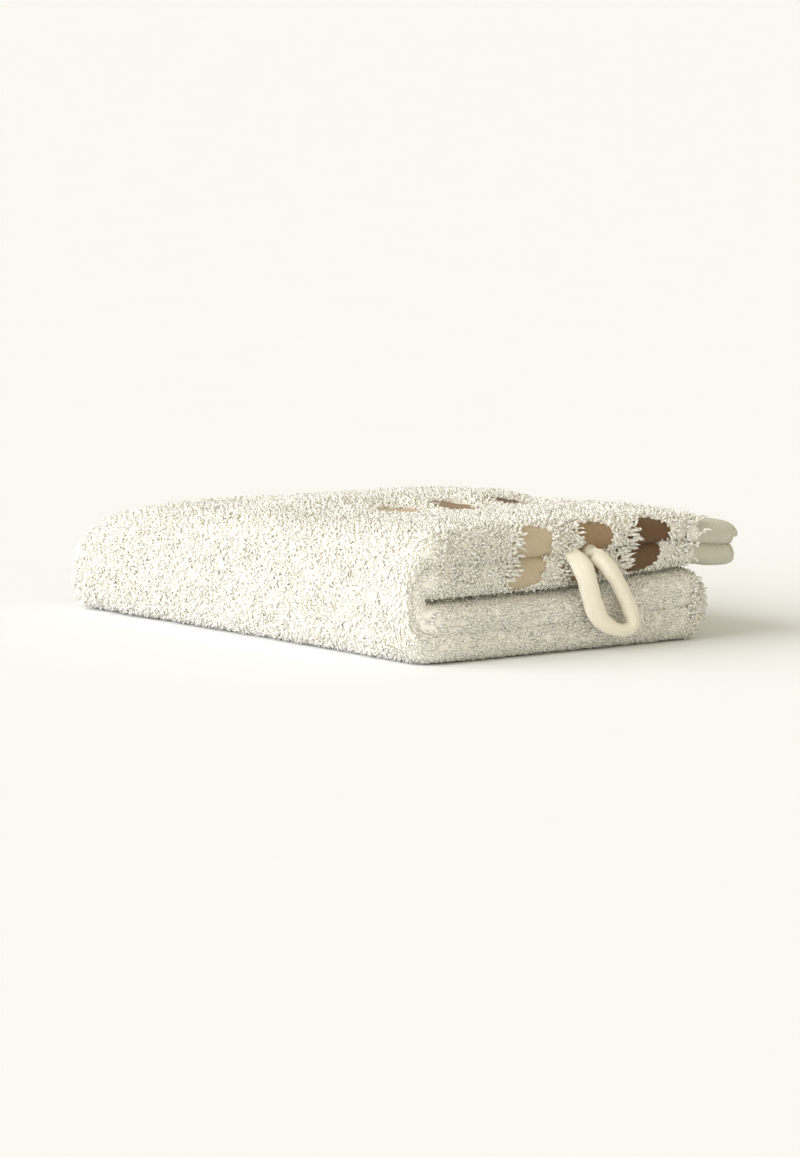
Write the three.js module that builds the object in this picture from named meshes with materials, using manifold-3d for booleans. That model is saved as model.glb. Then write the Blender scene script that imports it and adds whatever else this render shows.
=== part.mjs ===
// A terry washcloth of mitt form: one length of towelling turned back on itself at the closed end,
// sewn down both sides and hemmed at the open end. It is folded once across its length and lies flat,
// with the fold in front and the hemmed opening at the back of the upper half.
// A band sewn into the right seam makes the hanging loop.
//
// +X runs along the fold, +Y from the fold to the opening, +Z up. The origin is on the surface that the
// cloth lies on, under its middle. Millimetres.
import * as THREE from "three";
import { mergeVertices } from "three/addons/utils/BufferGeometryUtils.js";
import Module from "manifold-3d";

// The mitt as it is sewn and folded
const WIDTH = 165; // seam to seam
const CLOSED_END = 47; // where the lower half ends at the back
const OPEN_END = 57.5; // where the hems of the upper half end
const TURN_START = -42; // where the flat runs pass into the fold
const CREASE_END = -47; // how far the crease reaches into the fold
const CREASE_GAP = 0.7; // between the two halves
const TOP_BLUNTNESS = 0.8; // 1 is a round fold, less is a blunter one
const TOP_BLUNTNESS_LEFT = 1.2; // the thin left end droops
const BOTTOM_BLUNTNESS = 0.62; // the weight of the cloth presses the fold flat below

// Rounded edges
const SEAM_ROUND = 6; // each sheet rolls into the side seam over this
const SEAM_CREASE_UPPER = 3.2; // how deep the seam lies between the rolled sheets
const SEAM_CREASE_LOWER = 2;
const SEAM_IN_FOLD = 0.62; // in the fold the seam lies this far from the inner sheet to the outer one
const CLOSED_ROUND = 8;
const CLOSED_CORNER = 6; // in plan
const HEM_ROUND = 2.7;
const HEM_CORNER = 1.8; // in plan
const FOLD_CORNER_LONG = 17; // in plan, from front to back
const FOLD_CORNER_IN = 6.5; // and from side to side

// The flat woven hem, which has no pile
const HEM_DEPTH = 16;
const HEM_DROP = 2.8; // below the pile on the outside
const HEM_SAG = 1.2; // how far the hems hang past the lower half

// The pocket for the hand, between the two sheets
const POCKET_GAP_EDGE = 1.1;
const POCKET_GAP_MIDDLE = 2.8;
const POCKET_SIDE_WALL = 3.4;
const POCKET_END_WALL = 8;
const MOUTH_OVERSHOOT = 4;

// Flat woven dots, sunk into the pile: three lines of them across the cloth. The right seam runs through
// the last dot of each line.
const DOT_RADIUS = 7.6;
const SEAM_DOT_RADIUS = 7.4;
const DOT_SINK = 2;
const DOT_LINES = [-12.8, 7.2, 27.2];
const DOTS_ON_TOP = [-53.4, 16];
const DOT_SIDES = 28;

// The lying cloth, from its left seam to its right one: x of the section, the front of the fold, the
// height of the top over the fold, half way and before the hem, and the height of the crease in the fold
// and at the back
const SECTIONS = [
  { x: -82.5, front: -57.0, fold: 24.5, middle: 25.8, hem: 24.8, inFold: 12.5, atBack: 13.5 },
  { x: -72.0, front: -57.6, fold: 28.0, middle: 28.6, hem: 27.6, inFold: 14.0, atBack: 15.0 },
  { x: -40.0, front: -57.0, fold: 31.8, middle: 32.8, hem: 31.4, inFold: 15.6, atBack: 17.5 },
  { x: -8.0, front: -56.0, fold: 34.0, middle: 35.8, hem: 34.2, inFold: 16.4, atBack: 19.0 },
  { x: 25.0, front: -55.8, fold: 34.6, middle: 35.0, hem: 34.6, inFold: 16.8, atBack: 20.0 },
  { x: 58.0, front: -56.6, fold: 36.6, middle: 36.8, hem: 36.0, inFold: 17.0, atBack: 20.4 },
  { x: 82.5, front: -57.6, fold: 37.2, middle: 37.4, hem: 36.2, inFold: 17.0, atBack: 20.4 },
];
const HEIGHTS_FROM = -42; // y of the fold column
const HEIGHTS_TO = 42; // y of the hem column

// The hanging loop: a soft round band on its way out of the seam, round its tip and back in
const BAND_ACROSS = 4.0; // in the plane of the loop
const BAND_OUT = 4.4; // from the cloth outwards
const BAND_SIDES = 12;
const BAND_STEPS = 48;
const BAND_CLEARANCE = 0.35;
const BAND_ROUTE = [
  { x: 76.6, y: -0.8, z: 26.4 },
  { x: 81.6, y: -0.8, z: 26.2 },
  { x: 84.5, y: -0.5, z: 23.8 },
  { x: 85.4, y: 0.3, z: 20.6 },
  { x: 85.4, y: 1.5, z: 16.8 },
  { x: 85.4, y: 2.9, z: 12.8 },
  { x: 85.4, y: 5.3, z: 8.9 },
  { x: 85.4, y: 9.2, z: 6.5 },
  { x: 85.4, y: 13.0, z: 5.5 },
  { x: 85.4, y: 15.8, z: 6.4 },
  { x: 85.4, y: 16.2, z: 8.8 },
  { x: 85.4, y: 15.1, z: 11.6 },
  { x: 85.4, y: 13.1, z: 15.4 },
  { x: 85.4, y: 10.8, z: 19.2 },
  { x: 85.0, y: 8.1, z: 23.0 },
  { x: 82.2, y: 5.7, z: 26.4 },
  { x: 76.6, y: 5.4, z: 27.2 },
];

// How finely the cloth is divided
const ACROSS = 22;
const THROUGH = 8;
const LOWER_STEPS = 10;
const TURN_STEPS = 12;
const UPPER_STEPS = 21;
const POCKET_ACROSS = 8;
const POCKET_ALONG = 26;

const ALONG = LOWER_STEPS + TURN_STEPS + UPPER_STEPS;
const TURN_FROM = LOWER_STEPS / ALONG;
const TURN_TO = (LOWER_STEPS + TURN_STEPS) / ALONG;

const { lerp, smoothstep, clamp } = THREE.MathUtils;
const wasm = await Module();
wasm.setup();

// The row of SECTIONS at any x, as a smooth curve through the rows.
const columns = ["front", "fold", "middle", "hem", "inFold", "atBack"];
const sectionCurve = new THREE.CubicInterpolant(
  SECTIONS.map((row) => row.x),
  SECTIONS.flatMap((row) => columns.map((name) => row[name])),
  columns.length,
);
function sectionAt(x) {
  const values = sectionCurve.evaluate(clamp(x, SECTIONS[0].x, SECTIONS.at(-1).x));
  return Object.fromEntries(columns.map((name, i) => [name, values[i]]));
}

function inHem(y) {
  return smoothstep(y, OPEN_END - HEM_DEPTH - 1.5, OPEN_END - HEM_DEPTH + 1.5);
}

// Height of the top of the upper half, over the pile.
function topHeight(section, y) {
  const t = clamp((y - HEIGHTS_FROM) / (HEIGHTS_TO - HEIGHTS_FROM), 0, 1.2);
  return (
    section.fold * (1 - t) * (1 - 2 * t) + section.middle * 4 * t * (1 - t) + section.hem * t * (2 * t - 1)
  );
}

// Height of the crease between the halves.
function creaseHeight(section, y) {
  return lerp(section.inFold, section.atBack, smoothstep(y, -12, CLOSED_END));
}

// How far round the fold a point is, from straight down to straight up.
function turnAngle(s) {
  return Math.PI * ((s - TURN_FROM) / (TURN_TO - TURN_FROM) - 0.5);
}

// A point of the outer skin: along the bottom from the closed end, round the fold and back over the top.
function outerSkin(x, s) {
  const section = sectionAt(x);
  if (s <= TURN_FROM)
    return { y: lerp(CLOSED_END - CLOSED_ROUND, TURN_START, s / TURN_FROM), z: 0 };
  if (s < TURN_TO) {
    const angle = turnAngle(s);
    const above = lerp(TOP_BLUNTNESS_LEFT, TOP_BLUNTNESS, smoothstep(x, -WIDTH / 2, -WIDTH / 4));
    const bluntness = lerp(BOTTOM_BLUNTNESS, above, smoothstep(angle, -0.4, 0.4));
    const blunt = (value) => Math.sign(value) * Math.abs(value) ** bluntness;
    return {
      y: TURN_START + (section.front - TURN_START) * blunt(Math.cos(angle)),
      z: (topHeight(section, TURN_START) / 2) * (1 + blunt(Math.sin(angle))),
    };
  }
  const y = lerp(TURN_START, OPEN_END - HEM_ROUND, (s - TURN_TO) / (1 - TURN_TO));
  return { y, z: topHeight(section, y) - HEM_DROP * inHem(y) };
}

// A point of the inner skin: the two faces of the crease between the halves.
function innerSkin(x, s) {
  const section = sectionAt(x);
  const half = CREASE_GAP / 2;
  if (s <= TURN_FROM) {
    const y = lerp(CLOSED_END - CLOSED_ROUND, CREASE_END, s / TURN_FROM);
    return { y, z: creaseHeight(section, y) - half };
  }
  if (s < TURN_TO) {
    const angle = turnAngle(s);
    return { y: CREASE_END - half * Math.cos(angle), z: section.inFold + half * Math.sin(angle) };
  }
  const y = lerp(CREASE_END, OPEN_END - HEM_ROUND, (s - TURN_TO) / (1 - TURN_TO));
  const sag = HEM_SAG * smoothstep(y, CLOSED_END - 5, CLOSED_END + 5);
  return { y, z: creaseHeight(section, y) + half - sag };
}

// A point between the skins: share 0 is the inner skin and 1 the outer one.
function between(x, s, share) {
  const outer = outerSkin(x, s);
  const inner = innerSkin(x, s);
  return { y: lerp(inner.y, outer.y, share), z: lerp(inner.z, outer.z, share) };
}

// The rolled edge of two sheets that meet in a seam, from one skin at v = 1 to the other at v = -1.
// The crease between them reaches in by this share of their roundness and lies at the share seam.
function twoLobes(v, crease, seam = 0.5) {
  const angle = (Math.PI / 2) * (2 * Math.abs(v) - 1);
  const share = lerp(seam, v > 0 ? 1 : 0, v === 0 ? 0 : (1 + Math.sin(angle)) / 2);
  const out = angle > 0 ? Math.cos(angle) : 1 - crease * (1 - Math.cos(angle));
  return { out, share };
}

// The rounded edge of one sheet that turns back on itself.
function oneLobe(v) {
  const angle = (Math.PI / 2) * v;
  return { out: Math.cos(angle), share: 0.5 + Math.sin(angle) / 2 };
}

function mixed(from, to, t) {
  return { out: lerp(from.out, to.out, t), share: lerp(from.share, to.share, t) };
}

// How much of the width is left at this y, where a corner ends the cloth that is so long and so wide.
function cornered(y, end, long, wide) {
  const into = clamp(1 - Math.abs(end - y) / long, 0, 1);
  return 1 - (wide * (1 - Math.sqrt(1 - into * into))) / (WIDTH / 2);
}

// A box whose points are moved by place(u, s, v), with u and v from -1 to 1 and s from 0 to 1.
function shapedBox(across, along, through, place) {
  const box = new THREE.BoxGeometry(2, 2, 2, across, along, through);
  const points = box.getAttribute("position");
  for (let i = 0; i < points.count; i++) {
    const at = place(points.getX(i), (points.getY(i) + 1) / 2, points.getZ(i));
    points.setXYZ(i, at.x, at.y, at.z);
  }
  return box;
}

function solidOf(geometry) {
  const bare = geometry.clone();
  bare.deleteAttribute("normal");
  bare.deleteAttribute("uv");
  const merged = mergeVertices(bare, 1e-4);
  return new wasm.Manifold(
    new wasm.Mesh({
      numProp: 3,
      vertProperties: new Float32Array(merged.getAttribute("position").array),
      triVerts: new Uint32Array(merged.index.array),
    }),
  );
}

function geometryOf(solid) {
  const mesh = solid.getMesh();
  const geometry = new THREE.BufferGeometry();
  geometry.setAttribute("position", new THREE.BufferAttribute(mesh.vertProperties, 3));
  geometry.setIndex(new THREE.BufferAttribute(mesh.triVerts, 1));
  return geometry;
}

// The whole cloth before the pocket is opened. Its upper half can be drawn in by sink.
function clothBlock(sink) {
  const block = shapedBox(ACROSS, ALONG, THROUGH, (u, s, v) => {
    const upper = smoothstep(s, TURN_FROM, TURN_TO);
    const crease = lerp(SEAM_CREASE_LOWER, SEAM_CREASE_UPPER, upper) / SEAM_ROUND;
    const parted = smoothstep(s, 0, 3 / ALONG);
    const seam = lerp(0.5, SEAM_IN_FOLD, Math.sin(Math.PI * upper));
    const side = Math.abs(u) > 0.999 ? mixed(oneLobe(v), twoLobes(v, crease, seam), parted) : null;
    const closed = s < 0.001 ? oneLobe(v) : null;
    const open = s > 0.999 ? twoLobes(v, 1) : null;
    const share = (closed ?? open ?? side)?.share ?? (1 + v) / 2;
    const rolled = side ? Math.sign(u) * (SEAM_ROUND * side.out - sink) : 0;
    const x = u * (WIDTH / 2 - SEAM_ROUND) + rolled;
    const at = between(x, s, share);
    const y = at.y + (closed ? CLOSED_ROUND * closed.out : 0) + (open ? HEM_ROUND * open.out : 0);
    const rounded =
      cornered(y, sectionAt(x).front, FOLD_CORNER_LONG, FOLD_CORNER_IN) *
      (upper < 0.5
        ? cornered(y, CLOSED_END, CLOSED_CORNER, CLOSED_CORNER)
        : cornered(y, OPEN_END, HEM_CORNER, HEM_CORNER));
    return { x: x * rounded, y, z: at.z - sink * upper * share };
  });
  return solidOf(block);
}

// The space between the sheets, open at the hems.
function pocketBlock() {
  const halfWidth = WIDTH / 2 - SEAM_ROUND - POCKET_SIDE_WALL;
  const first = (POCKET_END_WALL / (CLOSED_END - TURN_START)) * TURN_FROM;
  const block = shapedBox(POCKET_ACROSS, POCKET_ALONG, 1, (u, s, v) => {
    const x = u * halfWidth;
    const along = lerp(first, 1, s);
    const outer = outerSkin(x, along);
    const inner = innerSkin(x, along);
    const thickness = Math.hypot(outer.y - inner.y, outer.z - inner.z);
    const fullness = (1 - u * u) * Math.sin(Math.PI * s) ** 0.7;
    const gap = Math.min(lerp(POCKET_GAP_EDGE, POCKET_GAP_MIDDLE, fullness), thickness / 4);
    const at = between(x, along, 0.5 + (v * gap) / 2 / thickness);
    return { x, y: at.y + (s > 0.999 ? HEM_ROUND + MOUTH_OVERSHOOT : 0), z: at.z };
  });
  return solidOf(block);
}

// Round bars that mark the dots: upright ones on top and level ones across the right seam.
function dotBars() {
  const bars = [];
  for (const line of DOT_LINES) {
    for (const x of DOTS_ON_TOP) {
      const bar = new THREE.CylinderGeometry(DOT_RADIUS, DOT_RADIUS, 20, DOT_SIDES);
      bars.push(solidOf(bar.rotateX(Math.PI / 2).translate(x, line, 38)));
    }
    const section = sectionAt(WIDTH / 2);
    const middle = (topHeight(section, line) + creaseHeight(section, line)) / 2;
    const reach = Math.min(SEAM_DOT_RADIUS, middle - creaseHeight(section, line) - 0.8);
    const bar = new THREE.CylinderGeometry(SEAM_DOT_RADIUS, SEAM_DOT_RADIUS, 14, DOT_SIDES);
    bar.rotateZ(Math.PI / 2).scale(1, 1, reach / SEAM_DOT_RADIUS);
    bars.push(solidOf(bar.translate(WIDTH / 2, line, middle)));
  }
  return wasm.Manifold.union(bars);
}

// An oval band along BAND_ROUTE, larger all round by the margin.
function band(margin) {
  const section = new THREE.Shape();
  for (let i = 0; i < BAND_SIDES; i++) {
    const angle = (2 * Math.PI * i) / BAND_SIDES;
    const x = (BAND_ACROSS / 2 + margin) * Math.cos(angle);
    const y = (BAND_OUT / 2 + margin) * Math.sin(angle);
    if (i) section.lineTo(x, y);
    else section.moveTo(x, y);
  }
  const route = BAND_ROUTE.map((at) => new THREE.Vector3(at.x, at.y, at.z));
  route[0].x -= margin;
  route.at(-1).x -= margin;
  const geometry = new THREE.ExtrudeGeometry(section, {
    steps: BAND_STEPS,
    extrudePath: new THREE.CatmullRomCurve3(route, false, "centripetal"),
  });
  return solidOf(geometry);
}

function makeCloth() {
  const terry = new THREE.MeshStandardMaterial({ color: 0xf3efe2, roughness: 0.95, metalness: 0 });
  const block = clothBlock(0);
  const sunk = dotBars().subtract(clothBlock(DOT_SINK));
  const cloth = block.subtract(sunk).subtract(pocketBlock()).subtract(band(BAND_CLEARANCE));
  const mesh = new THREE.Mesh(geometryOf(cloth), terry);
  mesh.name = "mitt";
  return mesh;
}

function makeLoop() {
  const cotton = new THREE.MeshStandardMaterial({ color: 0xf1ecd8, roughness: 0.8, metalness: 0 });
  const mesh = new THREE.Mesh(geometryOf(band(0)), cotton);
  mesh.name = "hanging_loop";
  return mesh;
}

const washcloth = new THREE.Group();
washcloth.add(makeCloth(), makeLoop());

export default washcloth;
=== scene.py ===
"""A terry washcloth of mitt form, folded once and lying flat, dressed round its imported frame.

Each operator makes one group of pieces: the cloth itself, its pile of loops, the stitches of its hems,
the hanging loop, and the stage. Lengths in the tables are millimetres, as in the part's source.
"""
import math

import bpy
import numpy as np
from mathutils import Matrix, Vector, noise


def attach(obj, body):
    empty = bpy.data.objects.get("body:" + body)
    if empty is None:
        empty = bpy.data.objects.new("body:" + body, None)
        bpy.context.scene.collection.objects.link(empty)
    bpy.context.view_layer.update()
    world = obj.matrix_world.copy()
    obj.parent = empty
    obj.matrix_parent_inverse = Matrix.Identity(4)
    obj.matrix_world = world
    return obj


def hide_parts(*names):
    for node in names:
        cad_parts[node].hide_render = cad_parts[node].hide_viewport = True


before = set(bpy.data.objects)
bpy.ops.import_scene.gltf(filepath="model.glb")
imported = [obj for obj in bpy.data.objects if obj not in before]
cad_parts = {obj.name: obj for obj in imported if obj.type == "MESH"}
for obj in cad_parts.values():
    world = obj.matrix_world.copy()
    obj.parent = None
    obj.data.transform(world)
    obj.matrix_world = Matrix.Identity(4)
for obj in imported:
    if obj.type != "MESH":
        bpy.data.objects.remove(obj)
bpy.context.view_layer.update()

bl_info = {
    "name": "Folded washcloth mitt",
    "version": (1, 0, 0),
    "blender": (4, 5, 0),
    "location": "View3D > Sidebar > Washcloth",
    "description": "Makes a folded terry washcloth of mitt form with its pile, hems and hanging loop",
    "category": "Object",
}

MM = 0.001
BODY = "root"

# The mitt as it is sewn and folded
WIDTH = 165.0
CLOSED_END = 47.0
OPEN_END = 57.5
TURN_START = -42.0
CREASE_END = -47.0
CREASE_HALF = 0.35
TOP_BLUNTNESS = 0.8
TOP_BLUNTNESS_LEFT = 1.2
BOTTOM_BLUNTNESS = 0.62
SEAM_ROUND = 6.0
FOLD_CORNER_LONG = 17.0
FOLD_CORNER_IN = 6.5
CLOSED_ROUND = 8.0
HEM_ROUND = 2.7
HEM_DEPTH = 16.0
HEM_DROP = 3.5
HEM_SAG = 1.2
HEM_SLIP = 1.3
HEM_BLEND = 1.5
# Painted shade on the hem: its cream is darkened and yellowed so that the flat hem looks as shaded as the
# pile beside it
HEM_PAINTED_SHADE = 0.60
HEM_PAINTED_SHADE_TINT = (1.0, 0.985, 0.90)
SKIN_MARGIN = 1.0
POCKET_AT_SEAM = 0.5
POCKET_IN_MIDDLE = 2.6
POCKET_INSET = 3.0
POCKET_PAST_END = 0.6
TIP_DRAWN_IN = 0.25

# Soft dents of the ground in rows of depth, size and pattern, and how fast the front's dents change
FRONT_DENTS = ((0.8, 18.0, 3.0),)
FRONT_DENTS_PACE = 22.0
TOP_DENTS = ((0.8, 20.0, 8.0), (0.3, 8.0, 5.0))

# How far the woven ground lies under the tips of the pile
GROUND_OUTSIDE = 0.9
GROUND_ON_TOP = 1.75
GROUND_SIDES = 1.9
GROUND_LOWER_SIDES = 1.0
GROUND_HEM_SIDES = 0.9
GROUND_IN_CREASE = 0.45
GROUND_ON_FLOOR = 0.3

# How deep the seam lies between the two rolled sheets, as a share of their roundness
SEAM_CREASE_FOLD = 0.22
SEAM_CREASE_UPPER = 0.48
SEAM_CREASE_LOWER = 0.15
SEAM_CREASE_HEM = 0.34
SEAM_IN_FOLD = 0.62
INNER_RECESS = 0.35

# Where along the sheet's run the upper seam deepens, where it turns into the hem's, and where the hem starts
UPPER_SEAM_RUN = (2.15, 2.4)
HEM_SEAM_RUN = (2.74, 2.88)
HEM_RUN = 2.85

# The flat woven dots: their lines by distance from the hem's edge, and their places across the cloth
DOT_RADIUS = 7.6
DOT_FIRST = 16.0
DOT_PITCH = 69.4
DOT_LINES = (31.0, 51.0, 71.0)
DRIFT_AT_SEAM = 1.9
DRIFT_FROM = 55.0
DRIFT_TO = 80.0
DRIFT_INSIDE = 2.0

# How the dots on top lie askew: place across the fold, and slopes to the right and to the front of the view
DOT_TILTS = ((26.8, 0.17, 0.06), (6.8, 0.20, 0.06), (-13.2, 0.12, -0.03))
VIEW_X = 0.602
VIEW_Y = 0.799

SECTION_COLUMNS = ("x", "front", "fold", "middle", "hem", "in_fold", "at_back")
SECTIONS = (
    (-82.5, -57.0, 24.5, 25.8, 24.8, 12.5, 13.5),
    (-72.0, -57.6, 28.0, 28.6, 27.6, 14.0, 15.0),
    (-40.0, -57.0, 31.8, 32.8, 31.4, 15.6, 17.5),
    (-8.0, -56.0, 34.0, 35.8, 34.2, 16.4, 19.0),
    (25.0, -55.8, 34.6, 35.0, 34.6, 16.8, 20.0),
    (58.0, -56.6, 36.6, 36.8, 36.0, 17.0, 20.4),
    (82.5, -57.6, 37.2, 37.4, 36.2, 17.0, 20.4),
)
HEIGHTS_FROM = -42.0
HEIGHTS_TO = 42.0

# The middle line of the hanging loop, from the seam round its tip and back
BAND_ROUTE = (
    (78.6, -0.8, 26.4),
    (81.6, -0.8, 26.2),
    (84.5, -0.5, 23.8),
    (85.4, 0.3, 20.6),
    (85.4, 1.5, 16.8),
    (85.4, 2.9, 12.8),
    (85.4, 5.3, 8.9),
    (85.4, 9.2, 6.5),
    (85.4, 13.0, 5.5),
    (85.4, 15.8, 6.4),
    (85.4, 16.2, 8.8),
    (85.4, 15.1, 11.6),
    (85.4, 13.1, 15.4),
    (85.4, 10.8, 19.2),
    (85.0, 8.1, 23.0),
    (82.2, 5.7, 26.4),
    (78.6, 5.4, 27.2),
)

# How wide the band looks along its way, as a share of its width
BAND_WIDTHS = (
    (0.0, 1.0), (0.14, 1.18), (0.3, 1.08), (0.42, 0.80),
    (0.52, 0.66), (0.62, 0.76), (0.78, 0.86), (1.0, 0.84),
)
BAND_FLATNESS = 0.74
BAND_STRANDS = 12
BAND_TWIST = 8200.0

# Steps of the cloth's net
ACROSS = 62
LOBE_STEPS = 7
LOWER_STEPS = 42
TURN_STEPS = 26
UPPER_STEPS = 50
END_STEPS = 10
TIP_ANGLES = (22.0, 45.0, 66.0, 84.0)


class ClothSizes(bpy.types.PropertyGroup):
    """Sizes of the cloth's pile and sewing."""

    pile_height: bpy.props.FloatProperty(
        name="Pile height", description="Height of a loop of the pile", default=0.00165, unit="LENGTH"
    )
    yarn_thickness: bpy.props.FloatProperty(
        name="Yarn thickness", description="Thickness of the pile's yarn", default=0.00080, unit="LENGTH"
    )
    loop_spacing: bpy.props.FloatProperty(
        name="Loop spacing", description="Distance from one loop to the next", default=0.00112, unit="LENGTH"
    )
    stitch_length: bpy.props.FloatProperty(
        name="Stitch length", description="Length of one hem stitch", default=0.0027, unit="LENGTH"
    )
    band_width: bpy.props.FloatProperty(
        name="Band width", description="Width of the hanging loop's band", default=0.0054, unit="LENGTH"
    )


class ClothColours(bpy.types.PropertyGroup):
    """Colours of the cloth."""

    cream: bpy.props.FloatVectorProperty(
        name="Cream", description="The towelling", subtype="COLOR", size=4, default=(0.985, 0.96, 0.885, 1)
    )
    dark: bpy.props.FloatVectorProperty(
        name="Dark brown", description="Dots next to the hem", subtype="COLOR", size=4,
        default=(0.150, 0.086, 0.043, 1),
    )
    brown: bpy.props.FloatVectorProperty(
        name="Light brown", description="Dots of the middle line", subtype="COLOR", size=4,
        default=(0.335, 0.232, 0.136, 1),
    )
    beige: bpy.props.FloatVectorProperty(
        name="Beige", description="Dots of the line next to the fold", subtype="COLOR", size=4,
        default=(0.555, 0.46, 0.33, 1),
    )
    band: bpy.props.FloatVectorProperty(
        name="Band", description="The hanging loop", subtype="COLOR", size=4, default=(0.945, 0.90, 0.775, 1)
    )
    floor: bpy.props.FloatVectorProperty(
        name="Floor", description="The stage's floor", subtype="COLOR", size=4, default=(0.97, 0.985, 1.0, 1)
    )


def mixed(a, b, t):
    """The value a share t of the way from a to b."""
    return a + (b - a) * t


def smooth(value, low, high):
    """Rises softly from 0 at low to 1 at high."""
    t = np.clip((value - low) / (high - low), 0.0, 1.0)
    return t * t * (3.0 - 2.0 * t)


def curve_through(xs, ys, x):
    """A smooth curve through the points, at any x."""
    xs, ys = np.asarray(xs, float), np.asarray(ys, float)
    slopes = np.diff(ys) / np.diff(xs)
    tangents = np.concatenate([slopes[:1], (slopes[1:] + slopes[:-1]) / 2, slopes[-1:]])
    x = np.clip(x, xs[0], xs[-1])
    i = np.clip(np.searchsorted(xs, x) - 1, 0, len(xs) - 2)
    h = xs[i + 1] - xs[i]
    t = (x - xs[i]) / h
    return (
        ys[i] * (1 + 2 * t) * (1 - t) ** 2
        + tangents[i] * h * t * (1 - t) ** 2
        + ys[i + 1] * t * t * (3 - 2 * t)
        + tangents[i + 1] * h * t * t * (t - 1)
    )


def section(x, name):
    """A column of SECTIONS, read at any x."""
    table = np.array(SECTIONS)
    return curve_through(table[:, 0], table[:, SECTION_COLUMNS.index(name)], x)


def rough(x, y, size, seed):
    """Soft unevenness from -1 to 1, one value for each place."""
    x, y = np.broadcast_arrays(x, y)
    places = zip(x.ravel().tolist(), y.ravel().tolist())
    return np.array([noise.noise(Vector((a / size, b / size, seed))) for a, b in places]).reshape(x.shape)


def dents(x, y, rows):
    """Soft dents from rows of depth, size and pattern."""
    return sum(depth * rough(x, y, size, pattern) for depth, size, pattern in rows)


def in_hem(y):
    """How much of a place is hem: 0 on the terry and 1 on the hem."""
    return smooth(y, OPEN_END - HEM_DEPTH - HEM_BLEND, OPEN_END - HEM_DEPTH + HEM_BLEND)


def dot_tilt(x, y):
    """How the flat dots near the middle of the top lie a little askew in the pile."""
    tilt = np.zeros(np.broadcast(x, y).shape)
    for line, down_right, down_front in DOT_TILTS:
        right = VIEW_X * (x - DOT_FIRST) + VIEW_Y * (y - line)
        front = VIEW_Y * (x - DOT_FIRST) - VIEW_X * (y - line)
        fade = 1 - smooth(np.hypot(right, front), DOT_RADIUS - 1.0, DOT_RADIUS + 8.0)
        tilt -= fade * (down_right * right + down_front * front)
    return tilt


def top_height(x, y):
    """The top of the pile on the upper half."""
    t = np.clip((y - HEIGHTS_FROM) / (HEIGHTS_TO - HEIGHTS_FROM), 0, 1.2)
    return (
        section(x, "fold") * (1 - t) * (1 - 2 * t)
        + section(x, "middle") * 4 * t * (1 - t)
        + section(x, "hem") * t * (2 * t - 1)
    )


def crease_height(x, y):
    """The middle of the crease between the two halves."""
    return mixed(section(x, "in_fold"), section(x, "at_back"), smooth(y, -12.0, CLOSED_END))


def outer_skin(x, run):
    """The ground of the outer sheet: run 0 to 1 is the bottom, 1 to 2 the fold and 2 to 3 the top."""
    if run <= 1:
        y = np.full_like(x, mixed(CLOSED_END - CLOSED_ROUND, TURN_START, run))
        return y, np.full_like(x, GROUND_ON_FLOOR)
    if run < 2:
        angle = math.pi * (run - 1.5)
        above = mixed(TOP_BLUNTNESS_LEFT, TOP_BLUNTNESS, smooth(x, -WIDTH / 2, -WIDTH / 4))
        bluntness = mixed(BOTTOM_BLUNTNESS, above, smooth(angle, -0.4, 0.4))
        forward = abs(math.cos(angle)) ** bluntness
        upward = np.copysign(abs(math.sin(angle)) ** bluntness, angle)
        dented = dents(x, np.full_like(x, run * FRONT_DENTS_PACE), FRONT_DENTS)
        front = section(x, "front") + GROUND_OUTSIDE + dented
        top = top_height(x, TURN_START) - GROUND_ON_TOP
        y = TURN_START + (front - TURN_START) * forward
        return y, GROUND_ON_FLOOR + (top - GROUND_ON_FLOOR) * (1 + upward) / 2
    y = np.full_like(x, mixed(TURN_START, OPEN_END - HEM_ROUND, run - 2))
    hem = in_hem(y)
    uneven = dents(x, y, TOP_DENTS) * (1 - 0.5 * hem)
    return y, top_height(x, y) - mixed(GROUND_ON_TOP, HEM_DROP, hem) + uneven + dot_tilt(x, y)


def inner_skin(x, run):
    """The ground of the inner sheet, which faces the crease between the two halves."""
    if run <= 1:
        y = np.full_like(x, mixed(CLOSED_END - CLOSED_ROUND, CREASE_END, run))
        return y, crease_height(x, y) - CREASE_HALF - GROUND_IN_CREASE
    half = CREASE_HALF + GROUND_IN_CREASE
    if run < 2:
        angle = math.pi * (run - 1.5)
        y = np.full_like(x, CREASE_END - half * math.cos(angle))
        return y, section(x, "in_fold") + half * math.sin(angle)
    y = np.full_like(x, mixed(CREASE_END, OPEN_END - HEM_ROUND, run - 2))
    sag = HEM_SAG * smooth(y, CLOSED_END - 5, CLOSED_END + 5)
    return y, crease_height(x, y) + CREASE_HALF + GROUND_IN_CREASE * (1 - in_hem(y)) - sag


def place(x, run, share):
    """A point between the skins of a half: share 0 is the inner skin and 1 the outer one."""
    y_in, z_in = inner_skin(x, run)
    y_out, z_out = outer_skin(x, run)
    return mixed(y_in, y_out, share), mixed(z_in, z_out, share)


def corner_share(y, front):
    """How much of the width is left at this y, where the fold's corners are rounded in plan."""
    into = np.clip(1 - np.abs(front - y) / FOLD_CORNER_LONG, 0, 1)
    return 1 - FOLD_CORNER_IN * (1 - np.sqrt(1 - into**2)) / (WIDTH / 2)


def lobe(crease):
    """The rolled edge from the skin to the seam: how far out and how near the skin, in LOBE_STEPS."""
    angle = np.linspace(math.pi / 2, -math.pi / 2, LOBE_STEPS + 1)[1:]
    out = np.where(angle > 0, np.cos(angle), 1 - crease * (1 - np.cos(angle)))
    return angle, out, (1 + np.sin(angle)) / 2


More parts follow.
